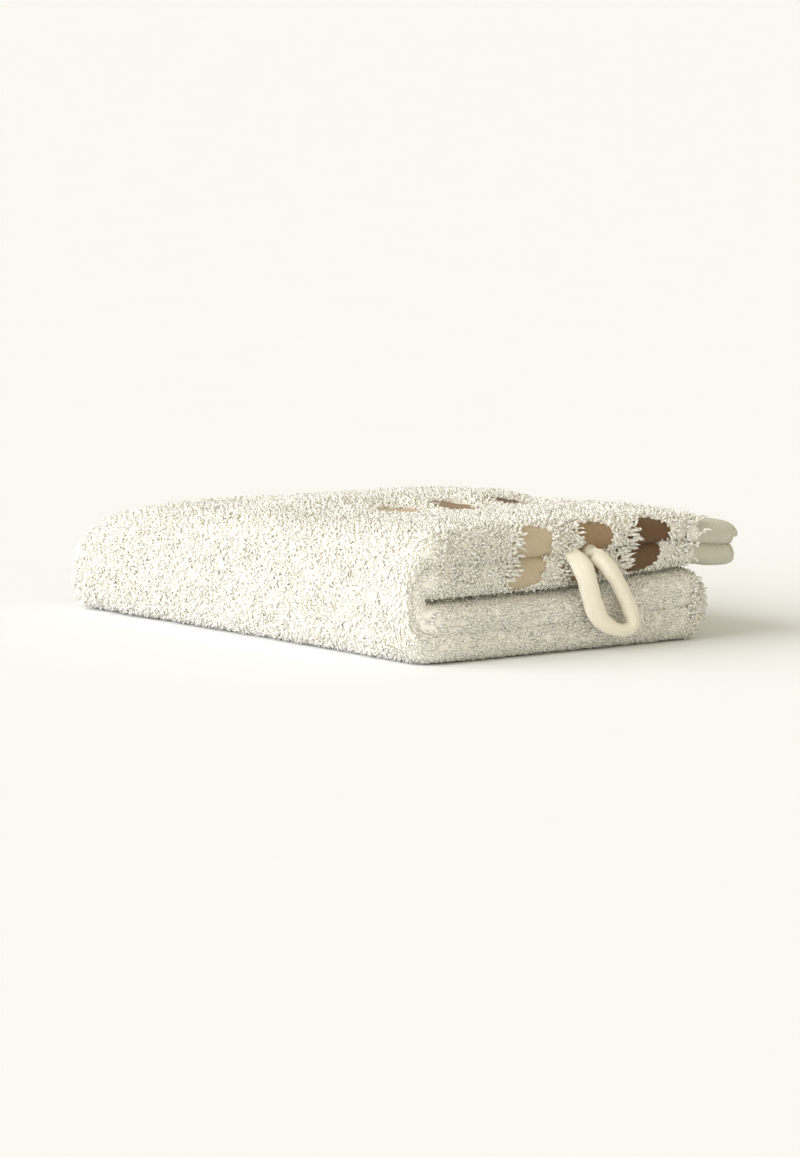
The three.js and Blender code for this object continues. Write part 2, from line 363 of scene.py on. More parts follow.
def stations():
    """The cloth's path from the outer hem round the closed end to the inner hem."""
    runs = [0.0]
    for first, steps in ((0, LOWER_STEPS), (1, TURN_STEPS), (2, UPPER_STEPS)):
        runs += [first + (i + 1) / steps for i in range(steps)]
    path = [{"sheet": 1, "run": 3.0, "tip": math.radians(a)} for a in reversed(TIP_ANGLES)]
    path += [{"sheet": 1, "run": r} for r in reversed(runs)]
    path += [{"sheet": 0, "run": 0.0, "turn": 1 - 2 * i / END_STEPS} for i in range(1, END_STEPS)]
    path += [{"sheet": -1, "run": r} for r in runs]
    path += [{"sheet": -1, "run": 3.0, "tip": math.radians(a)} for a in TIP_ANGLES]
    return path


def pocket_half_gap(x, run, thickness):
    """Half the gap between the two sheets, as a share of the whole thickness."""
    fullness = (1 - (2 * x / WIDTH) ** 2) * math.sin(math.pi * min(run, 3.0) / 3.0) ** 0.7
    gap = mixed(POCKET_AT_SEAM, POCKET_IN_MIDDLE, np.clip(fullness, 0, 1))
    return np.minimum(gap, thickness / 4) / 2 / thickness


def ring(at):
    """Points round the sheet at one station: left lobe, skin, right lobe, then the pocket's side."""
    sheet, run, turn, tip = at["sheet"], at["run"], at.get("turn"), at.get("tip")
    upper = smooth(run, 1.0, 2.0)
    crease = mixed(SEAM_CREASE_FOLD, SEAM_CREASE_UPPER, smooth(run, *UPPER_SEAM_RUN))
    crease = mixed(SEAM_CREASE_LOWER, crease, upper)
    crease = mixed(crease, SEAM_CREASE_HEM, smooth(run, *HEM_SEAM_RUN))
    hem = 1.0 if run > HEM_RUN else 0.0
    side_ground = mixed(mixed(GROUND_LOWER_SIDES, GROUND_SIDES, upper), GROUND_HEM_SIDES, hem)
    fold_seam = mixed(0.5, SEAM_IN_FOLD, math.sin(math.pi * upper))
    flat_half = WIDTH / 2 - SEAM_ROUND - SKIN_MARGIN
    roll = SEAM_ROUND + SKIN_MARGIN - side_ground
    x_skin = np.linspace(-flat_half, flat_half, ACROSS + 1)
    angle, out, near = lobe(crease)

    y_in, z_in = inner_skin(x_skin, run)
    y_out, z_out = outer_skin(x_skin, run)
    gap = pocket_half_gap(x_skin, run, np.hypot(y_out - y_in, z_out - z_in))

    if turn is None:
        skin_share = np.full_like(x_skin, 1.0 if sheet > 0 else 0.0)
        pocket_share = 0.5 + sheet * gap
        past_skin = np.zeros_like(x_skin)
        past_pocket = np.zeros_like(x_skin)
    else:
        angle_round = math.pi / 2 * turn
        skin_share = np.full_like(x_skin, 0.5 + math.sin(angle_round) / 2)
        pocket_share = 0.5 + math.sin(angle_round) * gap
        past_skin = np.full_like(x_skin, CLOSED_ROUND * math.cos(angle_round))
        past_pocket = np.full_like(x_skin, POCKET_PAST_END * math.cos(angle_round))
    if tip is not None:
        middle = (skin_share + pocket_share) / 2
        skin_share = middle + (skin_share - middle) * math.cos(tip)
        pocket_share = middle + (pocket_share - middle) * math.cos(tip)
        end_round = HEM_ROUND if sheet > 0 else HEM_ROUND - HEM_SLIP
        past_skin = past_skin + end_round * math.sin(tip)
        past_pocket = past_pocket + end_round * math.sin(tip)

    def points(x, share, past):
        """Points of this ring, moved on past the sheet's end."""
        y, z = place(x, run, share)
        return np.stack([x, y + past, z], axis=1)

    skin = points(x_skin, skin_share, past_skin)
    pocket_x = x_skin * ((flat_half - POCKET_INSET) / flat_half)
    pocket = points(pocket_x, pocket_share, past_pocket)

    edges = []
    for end in (-1, 1):
        column = 0 if end < 0 else -1
        seam_share = fold_seam
        if tip is not None:
            seam_share = (0.5 + (skin_share[column] + pocket_share[column]) / 2) / 2
        share = mixed(seam_share, skin_share[column], near)
        reach = out
        past = np.full_like(out, past_skin[column])
        if turn is not None:
            plan = (math.pi / 2 - angle) / 2
            reach = mixed(out, np.sin(plan), 1 - abs(turn))
            past = past_skin[column] * np.cos(plan)
        if tip is not None:
            reach = out * (1 - TIP_DRAWN_IN * math.sin(tip))
        if sheet < 0:
            reach = reach * (1 - INNER_RECESS * math.sin(math.pi * upper) * near)
        x = end * (flat_half + roll * reach)
        edges.append(points(x, share, past))
    around = np.concatenate([edges[0][::-1], skin, edges[1], pocket[::-1]])
    around[:, 0] *= corner_share(around[:, 1], section(around[:, 0], "front"))
    return around


def drifted(from_hem, across, inside):
    """The place from the hem that the weave shows: it drifts at the seam and on the inner sheet."""
    drift = DRIFT_AT_SEAM * smooth(np.abs(across), DRIFT_FROM, DRIFT_TO) + DRIFT_INSIDE * inside
    return from_hem - drift * smooth(from_hem, HEM_DEPTH + 1.0, HEM_DEPTH + 8.0)


def cloth_net():
    """All the rings, and for each skin point its place on the flat cloth: across, and from the hem."""
    path = stations()
    net = np.array([ring(at) for at in path])
    skin_columns = ACROSS + 1 + 2 * LOBE_STEPS
    skin = net[:, :skin_columns]
    middle = skin[:, skin_columns // 2]
    walked = np.concatenate([[0], np.cumsum(np.linalg.norm(np.diff(middle, axis=0), axis=1))])
    sheets = np.array([at["sheet"] for at in path])
    runs = np.array([at["run"] for at in path])
    outer = (sheets > 0) | ((sheets == 0) & (np.array([at.get("turn", 0) for at in path]) >= 0))
    from_hem = np.where(outer, walked, walked[-1] - walked - HEM_SLIP)
    top_row = skin[int(np.argmax((runs < 2.6) & (sheets > 0)))]
    stepped = np.concatenate([[0], np.cumsum(np.linalg.norm(np.diff(top_row, axis=0), axis=1))])
    across = stepped - np.interp(0.0, top_row[:, 0], stepped)
    return {
        "net": net, "skin": skin, "sheets": sheets, "runs": runs, "walked": walked, "from_hem": from_hem,
        "across": across,
    }


def calm():
    """Leaves edit mode and deselects everything, ready for a new piece."""
    if bpy.context.object and bpy.context.object.mode != "OBJECT":
        bpy.ops.object.mode_set(mode="OBJECT")
    bpy.ops.object.select_all(action="DESELECT")


def face_outwards():
    """Turns all faces of the piece in edit mode outwards, and leaves edit mode."""
    bpy.ops.mesh.select_all(action="SELECT")
    bpy.ops.mesh.normals_make_consistent(inside=False)
    bpy.ops.object.mode_set(mode="OBJECT")


def write_uv(mesh, name, values):
    """Gives a mesh one UV map with these values, and no other."""
    layer = mesh.uv_layers.get(name) or mesh.uv_layers.new(name=name)
    layer.uv.foreach_set("vector", values)
    for other in [u for u in mesh.uv_layers if u.name != name]:
        mesh.uv_layers.remove(other)


def mesh_piece(name, points, faces, material):
    """A new piece from arrays of points and faces, in metres, with its material and slot."""
    mesh = bpy.data.meshes.new(name)
    mesh.from_pydata(points, [], faces)
    mesh.update()
    piece = bpy.data.objects.new(name, mesh)
    bpy.context.collection.objects.link(piece)
    mesh.materials.append(material)
    mesh.shade_smooth()
    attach(piece, BODY)
    return piece


class Nodes:
    """Adds nodes to a material or a group and links them."""

    def __init__(self, tree):
        self.tree = tree

    def add(self, kind, inputs=(), **settings):
        """A new node. Its inputs are other nodes' sockets or plain values."""
        node = self.tree.nodes.new(kind)
        for name, value in settings.items():
            setattr(node, name, value)
        for name, value in dict(inputs).items():
            if isinstance(value, bpy.types.NodeSocket):
                self.tree.links.new(value, node.inputs[name])
            else:
                node.inputs[name].default_value = value
        return node

    def math(self, operation, *values):
        """The result of one sum on sockets or values."""
        return self.add("ShaderNodeMath", dict(enumerate(values)), operation=operation).outputs[0]

    def mix(self, factor, a, b):
        """The colour a share of the way from a to b."""
        node = self.add("ShaderNodeMix", data_type="RGBA")
        for index, value in ((0, factor), (6, a), (7, b)):
            if isinstance(value, bpy.types.NodeSocket):
                self.tree.links.new(value, node.inputs[index])
            else:
                node.inputs[index].default_value = value
        return node.outputs[2]

    def ramp(self, value, low, high):
        """Rises softly from 0 at low to 1 at high."""
        node = self.add("ShaderNodeMapRange", {"Value": value, "From Min": low, "From Max": high})
        node.interpolation_type = "SMOOTHSTEP"
        return node.outputs[0]


def new_group(name, inputs, outputs):
    """A shader node group: inputs and outputs are (name, kind, default) rows."""
    group = bpy.data.node_groups.new(name, "ShaderNodeTree")
    for row_name, kind, default in inputs:
        socket = group.interface.new_socket(row_name, in_out="INPUT", socket_type=kind)
        socket.default_value = default
    for row_name, kind in outputs:
        group.interface.new_socket(row_name, in_out="OUTPUT", socket_type=kind)
    nodes = Nodes(group)
    return group, nodes, nodes.add("NodeGroupInput"), nodes.add("NodeGroupOutput")


def flat_weave_group():
    """Crossed threads on a flat place, as a height and a painted shade of light and dark: lighter where the
    threads stand high, darker where they lie low.
    """
    found = bpy.data.node_groups.get("flat weave")
    if found:
        return found
    group, n, given, made = new_group(
        "flat weave",
        [("Place", "NodeSocketVector", (0, 0, 0)), ("Threads per metre", "NodeSocketFloat", 1600.0)],
        [("Height", "NodeSocketFloat"), ("Shade", "NodeSocketFloat")],
    )
    parts = n.add("ShaderNodeSeparateXYZ", {0: given.outputs["Place"]})
    turn = n.math("MULTIPLY", given.outputs["Threads per metre"], math.pi)
    warp = n.math("SINE", n.math("MULTIPLY", parts.outputs[0], turn))
    weft = n.math("SINE", n.math("MULTIPLY", parts.outputs[1], turn))
    crossed = n.math("MULTIPLY", warp, weft)
    ribs = n.math("ABSOLUTE", weft)
    wobble = n.add("ShaderNodeTexNoise", {"Vector": given.outputs["Place"], "Scale": 900.0, "Detail": 2.0})
    height = n.math("ADD", n.math("MULTIPLY", crossed, 0.35), n.math("MULTIPLY", ribs, 0.5))
    height = n.math("ADD", height, n.math("MULTIPLY", wobble.outputs["Fac"], 0.5))
    n.tree.links.new(height, made.inputs["Height"])
    # Painted shade: the weave is lighter where its threads stand high and darker where they lie low
    n.tree.links.new(n.ramp(height, -0.1, 0.9), made.inputs["Shade"])
    return group


def new_material(name):
    """A material with one shader, its node helper and that shader."""
    material = bpy.data.materials.new(name)
    material.use_nodes = True
    material.node_tree.nodes.clear()
    nodes = Nodes(material.node_tree)
    shader = nodes.add("ShaderNodeBsdfPrincipled")
    output = nodes.add("ShaderNodeOutputMaterial")
    nodes.tree.links.new(shader.outputs[0], output.inputs["Surface"])
    return material, nodes, shader


def cotton_look(n, shader, color, bump, roughness, sheen):
    """Dull cotton with a soft warm sheen. Bump is a height, its strength and its distance."""
    height, strength, distance = bump
    raised = n.add("ShaderNodeBump", {"Height": height, "Strength": strength, "Distance": distance})
    n.tree.links.new(color, shader.inputs["Base Color"])
    n.tree.links.new(raised.outputs[0], shader.inputs["Normal"])
    shader.inputs["Roughness"].default_value = roughness
    shader.inputs["Specular IOR Level"].default_value = 0.2
    shader.inputs["Sheen Weight"].default_value = sheen
    shader.inputs["Sheen Roughness"].default_value = 0.55
    shader.inputs["Sheen Tint"].default_value = (1.0, 0.97, 0.9, 1.0)


def ground_material(colours):
    """The woven ground: dots and hem in flat weave, and the rest nearly hidden by the pile."""
    material, n, shader = new_material("woven ground")
    flat = n.add("ShaderNodeUVMap", uv_map="flat cloth").outputs[0]
    parts = n.add("ShaderNodeSeparateXYZ", {0: flat})
    across, from_hem = parts.outputs[0], parts.outputs[1]
    wander = n.add("ShaderNodeTexNoise", {"Vector": flat, "Scale": 260.0, "Detail": 1.0})
    edge = n.math("MULTIPLY", n.math("SUBTRACT", wander.outputs["Fac"], 0.5), 0.0014)
    repeats = n.math("DIVIDE", n.math("SUBTRACT", across, DOT_FIRST * MM), DOT_PITCH * MM)
    aside = n.math("SUBTRACT", repeats, n.math("ROUND", repeats))
    aside = n.math("MULTIPLY", aside, DOT_PITCH * MM)
    color = tuple(colours.cream)
    dots = None
    for line, dot in zip(DOT_LINES, (colours.dark, colours.brown, colours.beige)):
        along = n.math("SUBTRACT", from_hem, line * MM)
        away = n.math("SQRT", n.math("ADD", n.math("POWER", aside, 2.0), n.math("POWER", along, 2.0)))
        away = n.math("ADD", away, edge)
        mask = n.ramp(away, (DOT_RADIUS + 0.35) * MM, (DOT_RADIUS - 0.15) * MM)
        color = n.mix(mask, color, tuple(dot))
        dots = mask if dots is None else n.math("MAXIMUM", dots, mask)
    hem = n.ramp(from_hem, (HEM_DEPTH + 1.2) * MM, (HEM_DEPTH - 0.4) * MM)
    woven = n.math("MAXIMUM", dots, hem)
    weave = n.add("ShaderNodeGroup", node_tree=flat_weave_group())
    n.tree.links.new(flat, weave.inputs["Place"])
    weave.inputs["Threads per metre"].default_value = 1500.0
    cloudy = n.add("ShaderNodeTexNoise", {"Vector": flat, "Scale": 90.0, "Detail": 3.0})
    # The weave's painted shade on the dots and hem, and cloudy tone that differs at random everywhere, set
    # the colour's brightness
    threads = n.math("SUBTRACT", weave.outputs["Shade"], 0.5)
    shade = n.math("MULTIPLY", threads, n.math("MULTIPLY", woven, 0.22))
    shade = n.math("ADD", shade, n.math("MULTIPLY", n.math("SUBTRACT", cloudy.outputs["Fac"], 0.5), 0.16))
    # Painted shade: the hem gets the cream darkened and yellowed, standing in for the shade on it
    hem_painted_shade = tuple(HEM_PAINTED_SHADE * c * w for c, w in zip(colours.cream[:3], HEM_PAINTED_SHADE_TINT)) + (1,)
    color = n.mix(hem, color, hem_painted_shade)
    bright = n.add("ShaderNodeHueSaturation", {"Color": color, "Value": n.math("ADD", shade, 0.98)})
    pile = n.add("ShaderNodeTexVoronoi", {"Vector": flat, "Scale": 800.0})
    tufts = n.math("MULTIPLY", pile.outputs["Distance"], n.math("SUBTRACT", 1.0, woven))
    height = n.math("ADD", n.math("MULTIPLY", tufts, -1.0), n.math("MULTIPLY", weave.outputs["Height"], 0.35))
    cotton_look(n, shader, bright.outputs[0], (height, 0.7, 0.0004), 0.92, 0.12)
    return material


def pile_material(colours):
    """Cream yarn, a little different from loop to loop and deeper in colour at the root, as painted shade."""
    material, n, shader = new_material("cotton pile")
    tone = n.add("ShaderNodeAttribute", attribute_name="tone").outputs["Fac"]
    height = n.add("ShaderNodeAttribute", attribute_name="height").outputs["Fac"]
    cream = tuple(colours.cream)
    # deep is the painted shade at the root of each loop: the cream a little yellower
    deep = (min(1, cream[0] * 1.01), cream[1] * 1.01, cream[2], 1)
    light = (min(1, cream[0] * 1.03), min(1, cream[1] * 1.04), min(1, cream[2] * 1.08), 1)
    tip = n.mix(tone, tuple(0.96 * c for c in cream[:3]) + (1,), light)
    # Painted shade at the root, fading up to the tip's colour, which differs at random from loop to loop
    color = n.mix(n.ramp(height, -0.1, 0.75), deep, tip)
    place_of = n.add("ShaderNodeTexCoord").outputs["Object"]
    fibre = n.add("ShaderNodeTexNoise", {"Vector": place_of, "Scale": 4200.0, "Detail": 1.0})
    cotton_look(n, shader, color, (fibre.outputs["Fac"], 0.35, 0.0002), 0.95, 0.3)
    return material


def band_material(colours):
    """Soft braided cotton, with painted shade in the hollows of its braid, broken up by random fuzz."""
    material, n, shader = new_material("loop band")
    along = n.add("ShaderNodeUVMap", uv_map="along band").outputs[0]
    parts = n.add("ShaderNodeSeparateXYZ", {0: along})
    round_it = n.math("MULTIPLY", parts.outputs[0], BAND_STRANDS * math.tau)
    down_it = n.math("MULTIPLY", parts.outputs[1], BAND_TWIST)
    one_way = n.math("SINE", n.math("ADD", round_it, down_it))
    other_way = n.math("SINE", n.math("SUBTRACT", round_it, down_it))
    braid = n.math("MAXIMUM", one_way, other_way)
    place_of = n.add("ShaderNodeTexCoord").outputs["Object"]
    fuzz = n.add("ShaderNodeTexNoise", {"Vector": place_of, "Scale": 1500.0, "Detail": 2.0})
    height = n.math("ADD", n.math("MULTIPLY", braid, 0.5), fuzz.outputs["Fac"])
    color = tuple(colours.band)
    # Painted shade: darker and yellower where the braid and its fuzz lie low
    deep = (color[0] * 0.95, color[1] * 0.935, color[2] * 0.90, 1)
    shaded = n.mix(n.ramp(height, 0.1, 1.1), deep, color)
    cotton_look(n, shader, shaded, (height, 0.3, 0.0002), 0.85, 0.2)
    return material


def thread_material(colours):
    """Plied cotton thread, a little darker between its plies, as painted shade."""
    material, n, shader = new_material("sewing thread")
    place_of = n.add("ShaderNodeTexCoord").outputs["Object"]
    settings = {"Vector": place_of, "Scale": 900.0, "Distortion": 1.0}
    ply = n.add("ShaderNodeTexWave", settings, bands_direction="DIAGONAL")
    color = tuple(colours.band)
    # Painted shade between the plies
    deep = tuple(0.8 * c for c in color[:3]) + (1,)
    shaded = n.mix(ply.outputs["Fac"], deep, color)
    cotton_look(n, shader, shaded, (ply.outputs["Fac"], 0.4, 0.0001), 0.7, 0.1)
    return material


class WASHCLOTH_OT_lay_cloth(bpy.types.Operator):
    """Lays the woven ground of the mitt in its fold: both sheets, closed end, seams and hems"""

    bl_idname = "washcloth.lay_cloth"
    bl_label = "Lay the cloth"

    def execute(self, context):
        calm()
        data = cloth_net()
        net = data["net"]
        rings, round_count = net.shape[:2]
        bpy.ops.mesh.primitive_grid_add(x_subdivisions=round_count, y_subdivisions=rings - 1, size=1)
        cloth = context.object
        cloth.name = cloth.data.name = "terry_cloth"
        mesh = cloth.data
        wrapped = np.concatenate([net, net[:, :1]], axis=1)
        mesh.vertices.foreach_set("co", (wrapped * MM).ravel())
        self.mark_flat_places(mesh, data, round_count)
        bpy.ops.object.mode_set(mode="EDIT")
        bpy.ops.mesh.select_all(action="SELECT")
        bpy.ops.mesh.remove_doubles(threshold=1e-7)
        bpy.ops.mesh.select_all(action="DESELECT")
        bpy.ops.mesh.select_non_manifold()
        bpy.ops.mesh.fill()
        face_outwards()
        mesh.shade_smooth()
        mesh.materials.clear()
        mesh.materials.append(ground_material(context.scene.washcloth_colours))
        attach(cloth, BODY)
        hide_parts("mitt")
        return {"FINISHED"}

    @staticmethod
    def mark_flat_places(mesh, data, round_count):
        """Writes each point's place on the flat cloth, in metres, as a UV map."""
        skin_columns = len(data["across"])
        across = np.zeros(round_count + 1)
        across[:skin_columns] = data["across"]
        pocket = round_count - skin_columns
        across[skin_columns:round_count] = np.linspace(WIDTH / 2, -WIDTH / 2, pocket)
        across[round_count] = across[0]
        flat_u = np.tile(across, len(data["from_hem"]))
        flat_v = np.repeat(data["from_hem"], round_count + 1)
        flat_v = drifted(flat_v, flat_u, np.repeat(data["sheets"] < 0, round_count + 1))
        corner = np.empty(len(mesh.loops), dtype=np.int64)
        mesh.loops.foreach_get("vertex_index", corner)
        uv = np.stack([flat_u[corner], flat_v[corner]], axis=1) * MM
        write_uv(mesh, "flat cloth", uv.ravel())


def yarn_loop(thickness, height):
    """One loop of the pile, modelled as a round of three points spun into a narrow arch."""
    calm()
    half = thickness * 0.62
    bpy.ops.mesh.primitive_circle_add(vertices=3, radius=thickness / 2, location=(half, 0, 0))
    loop = bpy.context.object
    bpy.ops.object.mode_set(mode="EDIT")
    bpy.ops.mesh.select_all(action="SELECT")
    bpy.ops.transform.rotate(value=math.radians(-15), orient_axis="Y", center_override=(0, 0, 0))
    bpy.ops.mesh.spin(steps=5, angle=math.radians(-210), center=(0, 0, 0), axis=(0, 1, 0))
    bpy.ops.mesh.select_all(action="DESELECT")
    bpy.ops.mesh.select_non_manifold()
    bpy.ops.mesh.edge_face_add()
    face_outwards()
    bpy.ops.object.transform_apply(location=True, rotation=True, scale=True)
    points = np.array([v.co[:] for v in loop.data.vertices])
    faces = [list(p.vertices) for p in loop.data.polygons]
    bpy.data.objects.remove(loop, do_unlink=True)
    points[:, 2] -= points[:, 2].min()
    points[:, 2] *= (height + thickness * 0.5) / points[:, 2].max()
    points[:, 2] -= thickness * 0.5
    return points, faces


def unit(vectors):
    """The vectors, one unit long."""
    return vectors / np.maximum(np.linalg.norm(vectors, axis=-1, keepdims=True), 1e-9)


def set_on(place, ways, lengths):
    """Points round each place, by their lengths along its side, ahead and outwards."""
    points = place[:, None]
    for way, length in zip(ways, lengths):
        points = points + way[:, None] * length[..., None]
    return points


def skin_frames(data):
    """Places and normals of the skin, ready to be read between its points."""
    skin = data["skin"]
    along = np.gradient(skin, axis=0)
    aside = np.gradient(skin, axis=1)
    return skin, unit(np.cross(along, aside))


def read_between(grid, row, column):
    """Values of a grid of vectors at fractional rows and columns."""
    i = np.clip(row.astype(int), 0, grid.shape[0] - 2)
    j = np.clip(column.astype(int), 0, grid.shape[1] - 2)
    a, b = (row - i)[:, None], (column - j)[:, None]
    near = grid[i, j] * (1 - b) + grid[i, j + 1] * b
    far = grid[i + 1, j] * (1 - b) + grid[i + 1, j + 1] * b
    return near * (1 - a) + far * a


def sow(skin, spacing, rng):
    """Where the loops stand, as fractional rows and columns of the skin, by each patch's area."""
    down, right = np.diff(skin, axis=0)[:, :-1], np.diff(skin, axis=1)[:-1]
    area = np.linalg.norm(np.cross(down, right), axis=2)
    wanted = np.floor(area / spacing**2 + rng.random(area.shape)).astype(int)
    rows, columns = np.indices(area.shape)
    start = rng.random(area.shape + (2,))
    found = []
    for i in range(wanted.max()):
        more = wanted > i
        row = rows[more] + (start[more][:, 0] + i * 0.7549) % 1
        column = columns[more] + (start[more][:, 1] + i * 0.5698) % 1
        found.append(np.stack([row, column]))
    return np.concatenate(found, axis=1)


def to_nearest_dot(u, from_hem):
    """The distance to the middle of the nearest dot, and the way there across the cloth and from the hem."""
    aside = (u - DOT_FIRST) / DOT_PITCH
    aside = (aside - np.rint(aside)) * DOT_PITCH
    away = np.full(len(u), 1e9)
    way = np.zeros((len(u), 2))
    for line in DOT_LINES:
        this = np.hypot(aside, from_hem - line)
        closer = this < away
        away = np.where(closer, this, away)
        way[closer] = np.stack([-aside, line - from_hem], axis=1)[closer]
    return away, unit(way)


def square_to(vectors, others):
    """The vectors with what lies along the others taken out, one unit long."""
    return unit(vectors - others * np.sum(vectors * others, axis=1, keepdims=True))


class WASHCLOTH_OT_grow_pile(bpy.types.Operator):
    """Covers the cloth with loops of yarn, save on its dots and hems"""

    bl_idname = "washcloth.grow_pile"
    bl_label = "Grow the pile"

    SEED = 7
    SIDE_STRIP = 9.0
    TOP_THIRD = WIDTH / 6 - 1
    HEM_GAP = 0.6
    COVER_ON_TOP = 0.8
    COVER_AT_SEAM = 3.0
    COVER_UNDER_LOOP = 7.0
    FRONT_HEIGHT = 0.78
    LOWER_SIDE_HEIGHT = 0.5
    LOWER_SIDE_LEAN = 0.9

    def execute(self, context):
        sizes = context.scene.washcloth_sizes
        rng = np.random.default_rng(self.SEED)
        data = cloth_net()
        roots = self.choose_roots(data, sizes.loop_spacing / MM, rng)
        template, faces = yarn_loop(sizes.yarn_thickness / MM, sizes.pile_height / MM)
        share = np.clip(template[:, 2] / template[:, 2].max(), 0, 1)
        points = self.stand_loops(roots, template, share, rng)
        tone = np.clip(rng.normal(0.5, 0.25, len(points)), 0, 1)

        u, sheet, run = roots["u"], roots["sheet"], roots["run"]
        side = np.abs(u) > WIDTH / 2 - self.SIDE_STRIP
        top = (sheet > 0) & (run >= 2) & ~side
        regions = {
            "pile_top_left": top & (u < -self.TOP_THIRD),
            "pile_top_middle": top & (u >= -self.TOP_THIRD) & (u < self.TOP_THIRD),
            "pile_top_right": top & (u >= self.TOP_THIRD),
            "pile_fold": (sheet > 0) & (run >= 1) & (run < 2) & ~side,
            "pile_left_seam": side & (u < 0),
            "pile_right_seam": side & (u > 0),
        }
        regions["pile_closed_end"] = ~np.logical_or.reduce(list(regions.values()))
        material = pile_material(context.scene.washcloth_colours)
        for name, chosen in regions.items():
            self.join(name, points[chosen], faces, tone[chosen], share, material)
        return {"FINISHED"}

    def choose_roots(self, data, spacing, rng):
        """The places that get a loop, each with its frame on the cloth."""
        skin, normals = skin_frames(data)
        row, column = sow(skin, spacing, rng)
        u = np.interp(column, np.arange(len(data["across"])), data["across"])
        v = np.interp(row, np.arange(len(data["walked"])), data["walked"])
        places = read_between(skin, row, column)
        from_hem = np.interp(row, np.arange(len(data["walked"])), data["from_hem"])
        nearest = np.clip(np.rint(row).astype(int), 0, len(data["walked"]) - 1)
        sheet, run = data["sheets"][nearest], data["runs"][nearest]
        from_hem = drifted(from_hem, u, sheet < 0)
        to_dot, toward = to_nearest_dot(u, from_hem)

        edge = np.abs(u) > WIDTH / 2 - SEAM_ROUND - 4.0
        on_bottom = (sheet > 0) & (run < 1.0)
        y = places[:, 1]
        ragged = 0.3 + 1.3 * smooth(np.abs(u), 68.0, 76.0)
        keep = from_hem > HEM_DEPTH + self.HEM_GAP + rng.normal(0, 1, len(u)) * ragged
        by_seam = smooth(np.abs(u), 68.0, 74.0)
        covers = np.clip(-2.0 * toward[:, 1] - 0.9, 0.1, 1.0)
        under_loop = (sheet < 0) & (np.abs(from_hem - DOT_LINES[1]) < DOT_RADIUS) & (u > 0)
        deep = np.where(under_loop, self.COVER_UNDER_LOOP, self.COVER_AT_SEAM)
        deep = covers * mixed(self.COVER_ON_TOP, deep, by_seam)
        keep &= to_dot > DOT_RADIUS - 0.2 - deep + rng.normal(0, 0.35, len(u))
        keep &= ~on_bottom | edge | (y > CLOSED_END - CLOSED_ROUND - 3) | (y < TURN_START - 1)
        keep &= (sheet >= 0) | edge | ((y > 34.0) & (run < 1.0)) | ((y > 37.0) & (run > 2.0))
        on_floor = on_bottom & (places[:, 2] < 0.6) & (y < 40) & (y > -50)
        keep &= ~(on_floor & (np.abs(u) < WIDTH / 2 - SEAM_ROUND - 1.0))
        chosen = np.flatnonzero(keep)

        normal = unit(read_between(normals, row, column))
        ahead = read_between(np.gradient(skin, axis=0), row, column)
        ahead = square_to(ahead * np.where(sheet >= 0, 1.0, -1.0)[:, None], normal)
        side = square_to(square_to(read_between(np.gradient(skin, axis=1), row, column), normal), ahead)
        found = {
            "u": u, "v": v, "from_hem": from_hem, "sheet": sheet, "run": run, "place": places,
            "normal": normal, "ahead": ahead, "side": side, "to_dot": to_dot, "toward": toward,
            "covers": covers,
        }
        return {name: values[chosen] for name, values in found.items()}

    def stand_loops(self, roots, template, share, rng):
        """All the loops' points: each loop turned, twisted and bent its own way."""
        u, v, run, sheet = roots["u"], roots["v"], roots["run"], roots["sheet"]
        place, count = roots["place"], len(u)
        clump = [rough(u, v, size, seed) for size, seed in ((5.5, 1.0), (5.5, 2.0), (7.0, 4.0), (16.0, 6.0))]
        lean = 0.7 * np.stack(clump[:2], axis=1) + rng.normal(0, 0.40, (count, 2))
        tall = 1 + 0.22 * clump[2] + 0.18 * clump[3] + rng.normal(0, 0.11, count)
        turn = rng.uniform(0, math.pi, count)
        twist = rng.normal(0, 0.8, count)
        wide = rng.normal(1.1, 0.15, count)

        rim = np.clip(1 - (roots["to_dot"] - DOT_RADIUS + 0.7) / 2.4, 0, 1) * roots["covers"]
        pulled = (rim * rng.uniform(0.5, 1.05, count))[:, None]
        lean = lean * (1 - 0.6 * rim)[:, None] + roots["toward"] * pulled
        tall = tall * (1 + 0.25 * rim)
        wide = wide * (1 + 0.35 * rim)
        hem_rim = np.clip(1 - (roots["from_hem"] - HEM_DEPTH - self.HEM_GAP) / 3.5, 0, 1)
        lean[:, 1] -= hem_rim * 0.35
        near_seam = 1 + smooth(np.abs(u), 60.0, 70.0)
        tall = tall * (1 + 0.45 * hem_rim * rng.uniform(0.1, 1.0, count) * near_seam)

        on_side = np.abs(u) > WIDTH / 2 - 7
        tall = np.where(on_side & (run > 2), tall * 0.95, tall)
        tufts = on_side & (roots["from_hem"] < 78) & (roots["to_dot"] < DOT_RADIUS + 4)
        tall = np.where(tufts, tall * rng.uniform(0.8, 1.3, count), tall)
        near_top_dot = (np.abs(u) < WIDTH / 2 - 10) & (roots["to_dot"] < DOT_RADIUS + 6)
        lower = 0.55 + 0.45 * smooth(roots["to_dot"], DOT_RADIUS + 1.0, DOT_RADIUS + 6.0)
        tall = np.where(near_top_dot, tall * lower, tall)
        lower_side = (run < 1.85) & on_side & (sheet != 0) & (u > 0)
        turn = np.where(lower_side, math.pi / 2 + rng.normal(0, 0.25, count), turn)
        tall = np.where(lower_side, tall * self.LOWER_SIDE_HEIGHT, tall)
        lean[:, 0] = np.where(lower_side, lean[:, 0] * 0.3, lean[:, 0])
        lean[:, 1] = np.where(lower_side, self.LOWER_SIDE_LEAN + lean[:, 1] * 0.5, lean[:, 1])

